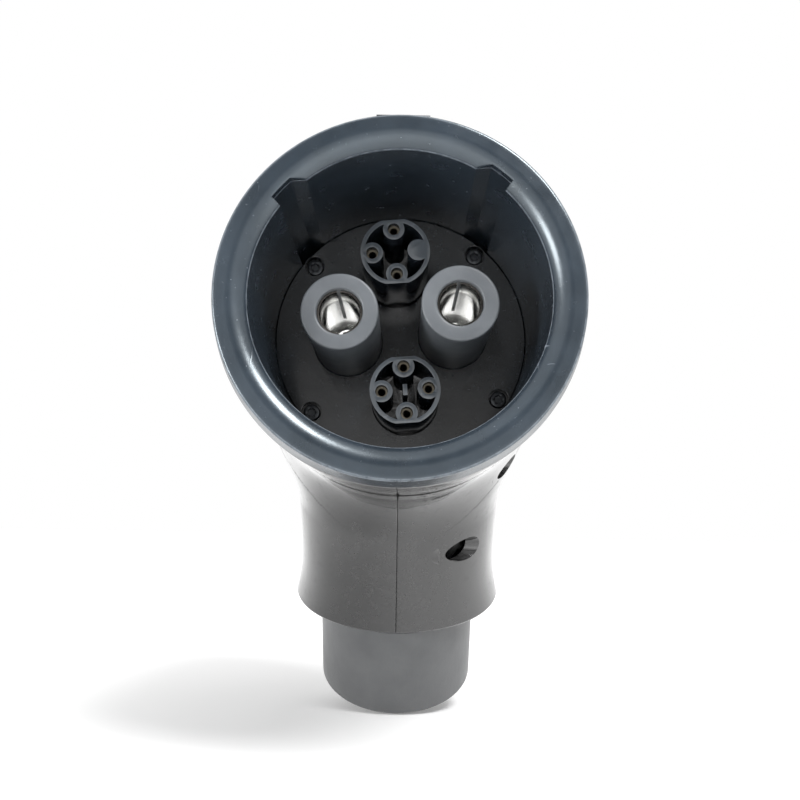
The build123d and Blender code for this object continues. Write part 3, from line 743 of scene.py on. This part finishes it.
def halfShell(name, hand):
    h = housing
    rows = spineStations(h["rows"])
    near = [0.0, 0.06, 0.14, 0.24, 0.36, 0.6]
    angles = np.array([x / 40 for x in near] + list(np.linspace(0.03, math.pi - 0.045,
            h["columns"])) + [math.pi - x / 27 for x in reversed(near)])
    centres = np.stack([np.zeros(len(rows)), rows[:, 0], rows[:, 1]], -1)
    upward = np.stack([np.zeros(len(rows)), np.sin(rows[:, 2]), np.cos(rows[:, 2])], -1)
    directions = upward[:, None, :] * np.cos(angles)[None, :,
            None] + np.array((1.0, 0, 0)) * np.sin(angles)[None, :, None]
    base = castOut(centres, directions, 0.0)
    inside = np.clip(h["seam"] - base[..., 0], 0, h["seam"])
    dip = h["seam"] - np.sqrt(h["seam"] ** 2 - inside ** 2)
    skin = base - directions * dip[..., None]
    lining = castOut(centres, directions, -h["wall"])
    # front edge and skirt end
    bore = directions[0] * h["tubeR"] + np.array((0, h["front"], 0))
    lips = [bore, directions[0] * (h["r"] - 1.2) + np.array((0, h["front"], 0)),
            directions[0] * (h["r"] - 0.42) + np.array((0, h["front"], 0)),
            directions[0] * (h["r"] - 0.14) + np.array((0, h["front"] + 0.1, 0)) - directions[0] * dip[0][:,
                    None]]
    tip = gripRoot + gripAlong * h["end"]
    last = skin[-1] + gripAlong * h["endEdge"]
    inward = (tip - last) / np.linalg.norm(tip - last, axis=-1, keepdims=True)
    e = h["endEdge"]
    ends = [last - gripAlong * e * (1 - math.sin(t)) + inward * e * (1 - math.cos(t)) for t in (0.35, 0.7,
            1.1, math.pi / 2)]
    ends += [tip - inward * h["neckR"], tip - inward * h["neckR"] - gripAlong * 2.9]
    innerEnd = lining[-1]
    inTip = tip - gripAlong * 2.9
    far = np.linalg.norm(innerEnd - (tip - gripAlong * e), axis=-1, keepdims=True)
    ends += [inTip - inward * far]
    outer = lips + list(skin) + ends
    inner = [bore + np.array((0, 1.0, 0))] + list(lining)[3:-4]
    grid = np.array(outer + inner[::-1])
    grid[..., 0] = hand * np.minimum(grid[..., 0], h["r"] - 0.015)
    faces = shellFaces(len(outer), len(inner), grid.shape[1], hand < 0)
    return addPiece(name, grid.reshape(-1, 3), faces, housingPlastic, 38.0, tidy=True)


def skinNormals(piece):  # true normals where a face lies on the outer skin, so cuts don't mark the gloss
    mesh = piece.data
    count = len(mesh.vertices)
    places = np.empty(count * 3)
    mesh.vertices.foreach_get("co", places)
    places = places.reshape(-1, 3) / mm
    across = places.copy()
    across[:, 0] = np.abs(across[:, 0])
    onSkin = (np.abs(bodyField(across)) < 0.03) & (across[:, 0] > housing["seam"])
    slope = np.zeros((count, 3))
    for axis in range(3):
        step = np.zeros(3)
        step[axis] = 0.15
        slope[:, axis] = bodyField(across + step) - bodyField(across - step)
    slope[:, 0] *= np.sign(places[:, 0])
    slope /= np.maximum(np.linalg.norm(slope, axis=1, keepdims=True), 1e-9)
    loops = np.zeros((len(mesh.loops), 3))
    corner = np.empty(len(mesh.loops), int)
    mesh.loops.foreach_get("vertex_index", corner)
    for face in mesh.polygons:
        held = corner[face.loop_start:face.loop_start + face.loop_total]
        if onSkin[held].all() and slope[held[0]] @ np.array(face.normal) > 0.0:
            loops[face.loop_start:face.loop_start + face.loop_total] = slope[held]
    mesh.normals_split_custom_set([tuple(n) for n in loops])


def roundBar(radius, y, z, near, far):
    work = bmesh.new()
    spot = Matrix.Translation(((near + far) / 2 * mm, y * mm, z * mm)) @ Matrix.Rotation(math.radians(90), 4,
            "Y")
    size = {"segments": 48, "radius1": radius * mm, "radius2": radius * mm, "depth": (far - near) * mm}
    bmesh.ops.create_cone(work, cap_ends=True, matrix=spot, **size)
    return addMesh("barTool", meshFrom("barTool", work), housingPlastic)


def boxTool(*spans):  # a cutting box from its x, y and z spans
    return cubeTool([(low + high) / 2 for low, high in spans], [high - low for low, high in spans],
            housingPlastic)


def screwWells():  # open tubes under the recesses of the right half
    h = housing
    pieces = []
    for y, z in h["screws"]:
        probe = np.array([[[x, y + dy, z + dz] for x in np.linspace(9, 42, 400)] for dy,
                dz in ((0, 0), (3.5, 0), (-3.5, 0), (0, 3.5), (0, -3.5))])
        inside = bodyField(probe) < -0.9
        reach = min(probe[i][inside[i]][-1][0] if inside[i].any() else 12.0 for i in range(5))
        reach = max(reach, 10.5)
        profile = [(5.0, 0.05), (5.0, reach - 0.6), (3.52, reach), (3.52, h["seat"]), (1.5, h["seat"]),
                (1.5, 0.05)]
        about = lambda r, x, a: (x, y + r * math.cos(a), z + r * math.sin(a))
        points, faces = latheGrid(profile, evenAngles(48), about)
        pieces.append(addPiece("screwWell", points, faces, housingPlastic, 32.0, tidy=True))
    return pieces


latch = {"halfWidth": 6.0, "gap": 0.4, "slotBack": 44.0, "tail": (57.0, 83.0), "tailTop": 43.4,
         "buttonY": 69.0, "buttonSize": (17.0, 22.0), "buttonR": 4.0}
hump = {"front": 13.0, "halfWidth": 17.5, "wall": 2.4, "frontR": 45.0, "topR": 50.5, "slopeEnd": 42.0,
        "back": 81.5,
        "dome": 16.5, "edge": 3.0, "foot": 1.4, "frontEdge": 0.8}


def humpSection(y, inset):  # outline across the ridge, right side then left
    h = hump
    slope = (h["topR"] - h["frontR"]) / (h["slopeEnd"] - h["front"])
    if y < h["slopeEnd"]:
        roof = h["frontR"] + slope * (y - h["front"])
        knee = h["slopeEnd"] - y
        roof -= 0.25 * slope * max(0.0, 4 - knee) ** 2 / 8
    elif y < h["back"]:
        roof = h["topR"] - 0.25 * slope * max(0.0, 4 - (y - h["slopeEnd"])) ** 2 / 8
    else:
        roof = h["topR"] * math.sqrt(max(0.0, 1 - ((y - h["back"]) / h["dome"]) ** 2))
    roof -= inset
    half, edge = h["halfWidth"] - inset, max(h["edge"] - inset, 0.5)
    barrel = housing["r"] if y < housing["back"] else housing["r"] * math.sqrt(max(0.0,
            1 - ((y - housing["back"]) / housing["dome"]) ** 2))
    low = math.sqrt(max((barrel - h["foot"]) ** 2 - half ** 2, 1.0))
    # centre of the rolled rail
    cx = half - edge
    cz = math.sqrt(max((roof - edge) ** 2 - cx ** 2, 0.01))
    top = math.atan2(cx, cz)
    low = min(low, cz - 0.05)
    side = [(half, low + (cz - low) * i / 5) for i in range(5)]
    rail = [(cx + edge * math.cos(t), cz + edge * math.sin(t)) for t in np.linspace(0, math.pi / 2 - top, 9)]
    crown = [(roof * math.sin(t), roof * math.cos(t)) for t in np.linspace(top, 0.55 / roof, 20)[1:]]
    crown += [(x, roof - dip * (inset < 0.9)) for x,
            dip in ((0.35, 0.0), (0.22, 0.08), (0.1, 0.24), (0.0, 0.35))]
    right = side + rail + crown
    return right + [(-x, z) for x, z in reversed(right[:-1])]


def makeHump():
    h = hump
    e = h["frontEdge"]
    stops = list(np.linspace(h["front"] + e, h["slopeEnd"] - 4, 22)) + list(np.linspace(h["slopeEnd"] - 3.5,
            h["slopeEnd"] + 4, 16))
    stops += list(np.linspace(h["slopeEnd"] + 5, h["back"],
            26)) + [h["back"] + h["dome"] * math.sin(t) for t in np.linspace(0.06, 1.18, 26)]
    outer = []
    for t in (0.0, 0.5, 1.0, 1.3):  # rolled front edge
        outer.append([(x, h["front"] + e * (1 - math.sin(t)), z) for x,
                z in humpSection(h["front"] + e, e * (1 - math.cos(t)) if t else 0.0)])
    outer = outer[::-1] + [[(x, y, z) for x, z in humpSection(y, 0.0)] for y in stops[1:]]
    innerStart = h["front"] + h["wall"]
    innerStops = [innerStart] + [stop for stop in stops if innerStart + 0.5 < stop < h["back"] + 12.5]
    inner = [[(x, y, z) for x, z in humpSection(y, h["wall"])] for y in innerStops]
    flat = [[(x, h["front"], z) for x, z in humpSection(h["front"] + e, e)]]
    grid = np.array(flat + outer + inner[::-1])
    faces = shellFaces(len(flat) + len(outer), len(inner), grid.shape[1])
    piece = addPiece("latchHump", grid.reshape(-1, 3), faces, housingPlastic, 38.0, tidy=True)
    half = latch["halfWidth"] + latch["gap"]
    cut(piece, boxTool((-half, half), (0, latch["slotBack"]), (20, 60)))
    cut(piece, windowTool(latch["gap"], 38, 60))
    return piece


def roundedRectangle(width, length, radius, steps=8):
    out = []
    for sx, sy, start in ((1, 1, 0), (-1, 1, 90), (-1, -1, 180), (1, -1, 270)):
        for i in range(steps + 1):
            a = math.radians(start + 90 * i / steps)
            out.append((sx * (width / 2 - radius) + radius * math.cos(a),
                    sy * (length / 2 - radius) + radius * math.sin(a)))
    return out


def stackPrism(name, layers, material, y):  # outlines stacked in z: (grow, height, crown)
    width, length = latch["buttonSize"]
    points, n = [], 36
    for grow, z, fall in layers:
        ring = roundedRectangle(width + 2 * grow, length + 2 * grow, max(latch["buttonR"] + grow, 0.6))
        points += [(x, y + v, z - fall * x * x) for x, v in ring]
    faces = ringFaces(len(layers), n)
    faces.append(tuple(reversed(range(n))))
    faces.append(tuple((len(layers) - 1) * n + j for j in range(n)))
    return addPiece(name, points, faces, material, 32.0, tidy=True)


def windowTool(grow, low, high):
    return stackPrism("windowTool", [(grow, low, 0), (grow, high, 0)], housingPlastic, latch["buttonY"])


def makeHousing():
    well = screwWells()
    half = latch["halfWidth"] + latch["gap"]
    for name, hand, node in (("housingLeft", -1, "housing_left"), ("housingRight", 1, "housing_right")):
        shell = halfShell(name, hand)
        cut(shell, boxTool((-half, half), latch["tail"], (33, latch["tailTop"])))
        if hand > 0:
            for y, z in housing["screws"]:
                cut(shell, roundBar(housing["holeR"], y, z, housing["seat"], 60))
            joinPieces(shell, *well)
        skinNormals(shell)
        settle(shell, "plug", "housing_plastic", node)
        print(name, len(shell.data.polygons))
    settle(makeHump(), "plug", "housing_plastic")


def makeHousingScrews():
    seat, r, height, n = housing["seat"], 3.1, 2.4, 36
    top = seat + height
    rings = [(1.45, -11.0), (1.45, seat), (r, seat), (r, top - 0.35), (r - 0.12, top - 0.1), (r - 0.4, top),
            (1.9, top)]
    points = [(x, radius * math.cos(a), radius * math.sin(a)) for radius, x in rings for a in evenAngles(n)]
    for depth in (top - 0.12, top - 1.44):
        points += [(depth, h * math.cos(a), h * math.sin(a)) for h, a in hexRing(1.39, n)]
    faces = ringFaces(len(rings) + 2, n)
    faces.append(tuple(reversed(range(n))))
    faces.append(tuple((len(rings) + 1) * n + j for j in range(n)))
    source = addPiece("housingScrewSource", points, faces, zincSteel, 32.0, tidy=True)
    piece = scatter("housingScrews", [(0, y, z) for y, z in housing["screws"]], source, zincSteel)
    return settle(piece, "plug", "screw_steel", *[f"housing_screw_{i}" for i in range(1, 6)])


makeHousing()
makeHousingScrews()
print("housing ready")


button = {"ribs": 5, "ribPitch": 2.6, "ribSize": (11.0, 1.0, 0.6), "sink": 0.6}


def makeButton():
    solid = nodeCopy("releaseButton", "release_button", buttonPlastic, 0.0)
    for vertex in solid.data.vertices:  # the cap is a little lower, and the ribs reach its full height
        above = vertex.co.z / mm - 51.5
        if above > 0:
            vertex.co.z = (51.5 + above * (1 - button["sink"] / 2.2)) * mm
    width, depth, height = button["ribSize"]
    work = bmesh.new()
    count = 16
    ringPoints = []
    for i in range(count):
        a = 2 * math.pi * i / count
        ringPoints.append((math.copysign(width / 2 - depth / 2, math.cos(a)) + depth / 2 * math.cos(a),
                depth / 2 * math.sin(a)))
    layers = [(1.0, -0.3), (1.0, height * 0.4), (0.8, height * 0.8), (0.45, height)]
    layerVerts = []
    for share, z in layers:
        layerVerts.append([work.verts.new(((x - math.copysign((1 - share) * depth / 2, x)) * mm,
                y * share * mm, z * mm)) for x, y in ringPoints])
    for a, b in zip(layerVerts, layerVerts[1:]):
        for j in range(count):
            work.faces.new((a[j], a[(j + 1) % count], b[(j + 1) % count], b[j]))
    work.faces.new(layerVerts[-1])
    work.faces.new(layerVerts[0][::-1])
    bmesh.ops.recalc_face_normals(work, faces=work.faces)
    source = addMesh("ribSource", meshFrom("ribSource", work), buttonPlastic)
    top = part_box("release_button")[1][2] / mm - height - 0.01
    offsets = [(i - (button["ribs"] - 1) / 2) * button["ribPitch"] for i in range(button["ribs"])]
    spots = [(0, latch["buttonY"] + offset, top) for offset in offsets]
    settle(solid, "release_button", "button_plastic", "release_button")
    settle(scatter("buttonRibs", spots, source, buttonPlastic), "release_button", "button_plastic")


makeButton()
settle(nodeCopy("latchLever", "latch_lever", latchCoat, 0.3), "latch", "latch_metal", "latch_lever")
spring = settle(nodeCopy("latchSpring", "latch_spring", springSteel, 0.0), "plug", "spring_steel",
        "latch_spring")
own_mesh(spring)
print("latch ready")


cableEnd = {"r": 23.3, "start": 76.0, "end": 105.0, "flangeR": 19.4, "flange": 8.0, "neckR": 17.5, "wall": 3.0,
            "boreR": 14.3, "grommetR": 19.0, "grommet": 23.0, "recess": 2.0, "cableR": 14.0, "edge": 1.1}


def gripAxis(r, s, a):
    spot = gripRoot + gripAlong * s + gripAside * (r * math.cos(a))
    return spot[0] + r * math.sin(a), spot[1], spot[2]


def makeCableSleeve():
    c = cableEnd
    inner, flange = c["start"] - c["wall"], c["start"] - c["wall"] - c["flange"]
    e = c["edge"]
    profile = [(c["boreR"], flange), (c["flangeR"] - 0.4, flange), (c["flangeR"], flange + 0.4),
            (c["flangeR"], inner - 0.01), (c["neckR"], inner - 0.01), (c["neckR"], c["start"] + 0.02),
            (c["r"] - 0.3, c["start"] + 0.02), (c["r"], c["start"] + 0.3)]
    profile += [(c["r"], s) for s in (80, 88, 96)]
    profile += arc(c["r"] - e, c["end"] - e, e, range(0, 91, 15))
    profile += [(c["grommetR"] + 0.6, c["end"]), (c["grommetR"] + 0.18, c["end"] - 0.12),
            (c["grommetR"] + 0.02, c["end"] - 0.6),
            (c["grommetR"] + 0.02, c["end"] - c["recess"] - c["grommet"]),
            (c["boreR"], c["end"] - c["recess"] - c["grommet"])]
    points, faces = latheGrid(profile, evenAngles(200), gripAxis)
    settle(addPiece("cableSleeve", points, faces, tailPlastic, 32.0, tidy=True), "plug",
            "sleeve_tail_plastic", "cable_sleeve")
    end = c["end"] - c["recess"]
    profile = [(c["cableR"], end - c["grommet"]), (c["grommetR"], end - c["grommet"]),
            (c["grommetR"], end - 0.8), (c["grommetR"] - 0.25, end - 0.25), (c["grommetR"] - 0.8, end)]
    profile += [(18.2 - 0.9 * i, end - (0.45 if i % 2 else 0.0)) for i in range(1, 4)]
    profile += [(c["cableR"] + 0.8, end), (c["cableR"] + 0.2, end - 0.2), (c["cableR"], end - 0.8)]
    profile += [(c["cableR"] + (0.5 if i % 2 else 0.0), end - 2.0 - 1.5 * i) for i in range(12)]
    points, faces = latheGrid(profile, evenAngles(160), gripAxis)
    settle(addPiece("cableGrommet", points, faces, blackRubber, 30.0, tidy=True), "plug", "rubber",
            "cable_grommet")


makeCableSleeve()
print("cable end ready")


finishes = {"retainer_plate": insertPlastic, "latch_pin": zincSteel, "lock_solenoid": solenoidCoat,
            "lock_plunger": zincSteel, "latch_switch": switchPlastic, "cable_clamp_front": insertPlastic,
            "cable_clamp_rear": insertPlastic,
            "clamp_screw_left": zincSteel, "clamp_screw_right": zincSteel}
for node, material in finishes.items():
    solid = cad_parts[node]
    solid.data.materials.clear()
    solid.data.materials.append(material)
for node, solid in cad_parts.items():
    if node not in finishes and not solid.data.materials:
        solid.data.materials.append(insertPlastic)


stage = {"floor": cadBox[0][2] / mm - 0.05, "lift": 0.16, "fade": (0.06, 0.30)}
cameraSet = {"place": (1.37, -177.7, -48.7), "pitch": 8.38, "yaw": 0.3, "roll": 1.05, "lens": 39.95}


def makeFloor():
    paint = Paint("paleFloor", {"Roughness": 0.9, "Specular IOR Level": 0.0, "Emission Strength": 1.0})
    paint.feed("Base Color", paint.mix(paint.noise(3.0), (0.85, 0.85, 0.85), (0.87, 0.87, 0.87)))
    seen = paint.node("ShaderNodeLightPath", output="Is Camera Ray") + paint.node("ShaderNodeLightPath",
            output="Is Glossy Ray")
    x, y = paint.axes()[:2]
    away = paint.node("ShaderNodeMath", {"operation": "SQRT"}, {0: x * x + (y - 0.10) * (y - 0.10)})
    fade = paint.ramp(away, (stage["fade"][0], 0.0), (stage["fade"][1], 1.0))
    paint.feed("Emission Color", seen * (fade * 0.5 + stage["lift"]))
    rings, count = [0, 60, 150, 400, 1000, 3000, 9000], 48
    points = [(r * math.sin(a), r * math.cos(a), stage["floor"]) for r in rings for a in evenAngles(count)]
    floor = addPiece("paleFloor", points, ringFaces(len(rings), count), paint.material, tidy=True)
    if floor.data.polygons[60].normal.z < 0:
        floor.data.flip_normals()


def makeRoom():
    paint = Paint("paleRoom", {"Color": (1, 1, 1, 1)}, world=True)
    kinds = ("Is Camera Ray", "Is Glossy Ray", "Is Transmission Ray")
    camera, glossy, through = (paint.node("ShaderNodeLightPath", output=kind) for kind in kinds)
    seen = camera.join("MAXIMUM", camera, glossy.join("MAXIMUM", glossy, through))
    way = Vector(room["shadeWay"]).normalized()
    along = paint.node("ShaderNodeVectorMath", {"operation": "DOT_PRODUCT"}, {0: paint.spot, 1: way}, "Value")
    near, far = room["shadeSpan"]
    span = {"Value": along, "From Min": near, "From Max": far, "To Min": 0.0, "To Max": room["shade"]}
    shade = paint.node("ShaderNodeMapRange", {"interpolation_type": "SMOOTHSTEP"}, span, "Result")
    paint.feed("Strength", (seen * (1.0 - room["fill"]) + room["fill"]) * (1.0 - shade * (1.0 - camera)))
    bpy.context.scene.world = paint.material


def addLight(name, place, aim, size, power, tint=(1, 1, 1)):
    data = bpy.data.lights.new(name, "AREA")
    data.shape, data.size, data.energy, data.color = "DISK", size * mm, power, tint
    lamp = bpy.data.objects.new(name, data)
    bpy.context.scene.collection.objects.link(lamp)
    lamp.location = Vector(place) * mm
    lamp.rotation_euler = (Vector(aim) - Vector(place)).to_track_quat("-Z", "Y").to_euler()
    return lamp


def placeCamera():
    data = bpy.data.cameras.new("photoView")
    data.lens, data.sensor_width, data.clip_start = cameraSet["lens"], 36.0, 0.01
    camera = bpy.data.objects.new("photoView", data)
    bpy.context.scene.collection.objects.link(camera)
    camera.location = Vector(cameraSet["place"]) * mm
    yaw, roll = (Matrix.Rotation(math.radians(cameraSet[key]), 4, "Z") for key in ("yaw", "roll"))
    pitch = Matrix.Rotation(math.radians(90 + cameraSet["pitch"]), 4, "X")
    camera.rotation_euler = (yaw @ pitch @ roll).to_euler()
    bpy.context.scene.camera = camera


room = {"fill": 0.72, "shadeWay": (0.04, -0.91, 0.42), "shadeSpan": (0.93, 0.985), "shade": 0.97}
makeFloor()
makeRoom()
addLight("keyLamp", (230, -330, 400), (0, 20, -10), 240, 4.6)
addLight("sideLamp", (-420, -300, -20), (0, 20, -20), 220, 2.2)
placeCamera()
bpy.context.scene.view_settings.view_transform = "Standard"
print("floor, light and camera ready")
